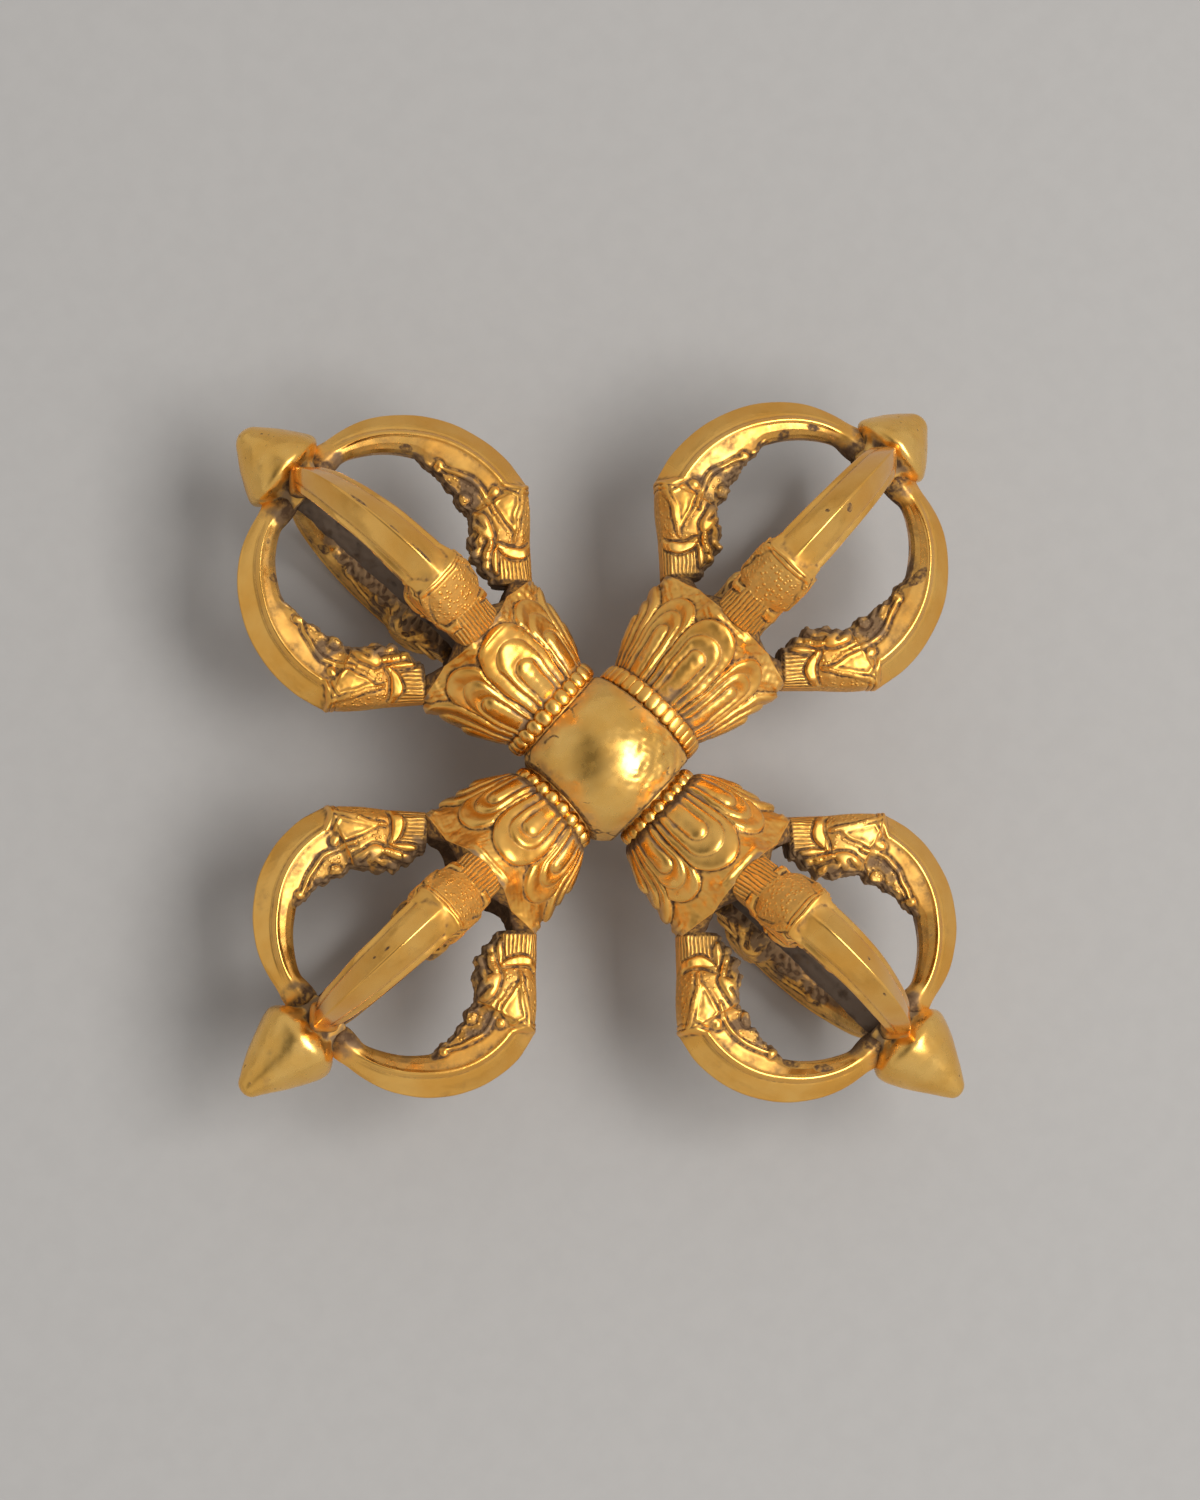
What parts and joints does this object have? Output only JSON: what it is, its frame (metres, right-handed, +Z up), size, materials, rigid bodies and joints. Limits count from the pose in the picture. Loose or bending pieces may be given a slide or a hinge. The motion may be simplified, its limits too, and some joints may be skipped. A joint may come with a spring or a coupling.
{
  "type": "crossed vajra",
  "caption": "Crossed ritual vajra: a ball hub with arms of lotus cups, caged makara-headed prongs and bud finials, in gilt copper alloy, for an altar or the hand.",
  "frame": {"origin": "on the ground, below the centre of the hub, at the middle of the part's footprint", "axes": "+Z up, square to the plane of the arms; +X near the east arm and +Y near the north arm"},
  "size_m": [0.1397, 0.1397, 0.0456],
  "materials": {
    "gilt": "fire-gilt casting, polished on the ridges, with brown dirt in the recesses",
    "worn_gilt": "smooth fire-gilt surface, softly polished by handling, with fine pits",
    "dark_bronze": "bare cast surface with a dull grey-brown patina"
  },
  "bodies": {
    "root": {"hub": "worn_gilt", "east_beaded_collar": "gilt", "east_lotus_cup": "gilt", "east_centre_prong": "dark_bronze", "east_finial": "worn_gilt", "east_front_prong": "gilt", "east_left_prong": "gilt", "east_back_prong": "gilt", "east_right_prong": "gilt", "north_beaded_collar": "gilt", "north_lotus_cup": "gilt", "north_centre_prong": "dark_bronze", "north_finial": "worn_gilt", "north_front_prong": "gilt", "north_left_prong": "gilt", "north_back_prong": "gilt", "north_right_prong": "gilt", "west_beaded_collar": "gilt", "west_lotus_cup": "gilt", "west_centre_prong": "dark_bronze", "west_finial": "worn_gilt", "west_front_prong": "gilt", "west_left_prong": "gilt", "west_back_prong": "gilt", "west_right_prong": "gilt", "south_beaded_collar": "gilt", "south_lotus_cup": "gilt", "south_centre_prong": "dark_bronze", "south_finial": "worn_gilt", "south_front_prong": "gilt", "south_left_prong": "gilt", "south_back_prong": "gilt", "south_right_prong": "gilt"}
  },
  "joints": []
}
